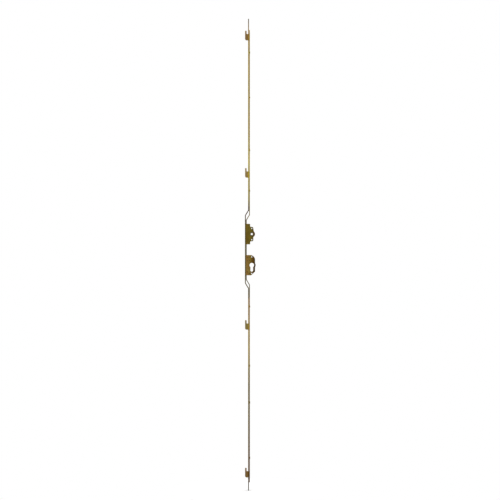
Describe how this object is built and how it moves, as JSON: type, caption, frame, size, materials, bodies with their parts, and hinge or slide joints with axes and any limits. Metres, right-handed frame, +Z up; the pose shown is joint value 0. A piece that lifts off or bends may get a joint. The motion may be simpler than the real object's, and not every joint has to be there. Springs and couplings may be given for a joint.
{
  "type": "patio door lock",
  "caption": "Slim multipoint patio door lock: a joggled faceplate and a sliding drive bar with upward hook bolts, a spindle gearbox and a Euro-profile lock box.",
  "frame": {"origin": "on the spindle axis, halfway through the lock's thickness", "axes": "+X from the faceplate into the door leaf, +Y along the spindle, +Z up along the faceplate"},
  "size_m": [0.0405, 0.02, 1.79],
  "materials": {
    "faceplate_zinc_steel": "yellow zinc, satin",
    "drive_bar_zinc_steel": "yellow zinc with an olive tint, satin",
    "gearbox_zinc_steel": "yellow zinc, olive brown, satin",
    "lock_box_zinc_steel": "yellow zinc, golden brown, satin",
    "hook_zinc_steel": "yellow zinc, brown, satin",
    "fastener_zinc_steel": "yellow zinc",
    "inner_steel": "zinc plated, satin",
    "spring_steel": "blued spring strip"
  },
  "bodies": {
    "case": {"faceplate": "faceplate_zinc_steel", "guide_rivets": "fastener_zinc_steel", "gearbox_near_plate": "gearbox_zinc_steel", "gearbox_far_plate": "gearbox_zinc_steel", "gearbox_pillars": "inner_steel", "handle_screw_bushes": "inner_steel", "follower_detent_spring": "spring_steel", "lock_near_plate": "lock_box_zinc_steel", "lock_far_plate": "lock_box_zinc_steel", "lock_pillars": "inner_steel", "escutcheon_screw_bushes": "inner_steel", "deadlock_lower_guide": "inner_steel", "deadlock_upper_guide": "inner_steel", "slide_lower_stud": "inner_steel", "slide_detent_spring": "spring_steel", "slide_spring_post": "inner_steel"},
    "drive_bar": {"drive_bar": "drive_bar_zinc_steel", "drive_rack": "inner_steel", "rack_screws": "fastener_zinc_steel", "hook_screws": "fastener_zinc_steel", "hook_top": "hook_zinc_steel", "hook_upper": "hook_zinc_steel", "hook_lower": "hook_zinc_steel", "hook_bottom": "hook_zinc_steel"},
    "follower": {"follower": "inner_steel"},
    "deadlock_slide": {"deadlock_slide": "inner_steel"},
    "deadlock_block": {"deadlock_block": "inner_steel", "deadlock_block_pin": "inner_steel"}
  },
  "joints": [
    {"name": "drive_bar_slide", "type": "slide", "parent": "case", "child": "drive_bar", "axis": [0, 0, 1], "range_m": [0, 0.0157]},
    {"name": "follower_turn", "type": "hinge", "parent": "case", "child": "follower", "pos_m": [0, 0, 0], "axis": [0, 1, 0], "range_deg": [0, 90], "deforming": ["follower_detent_spring"]},
    {"name": "deadlock_slide_lift", "type": "slide", "parent": "case", "child": "deadlock_slide", "axis": [0, 0, 1], "range_m": [0, 0.008], "deforming": ["slide_detent_spring"]},
    {"name": "deadlock_block_throw", "type": "slide", "parent": "case", "child": "deadlock_block", "axis": [-1, 0, 0], "range_m": [0, 0.0032]}
  ],
  "couplings": [
    {"joint": "follower_turn", "follows": "drive_bar_slide", "rad_per_m": 100},
    {"joint": "deadlock_block_throw", "follows": "deadlock_slide_lift", "ratio": 0.4}
  ]
}
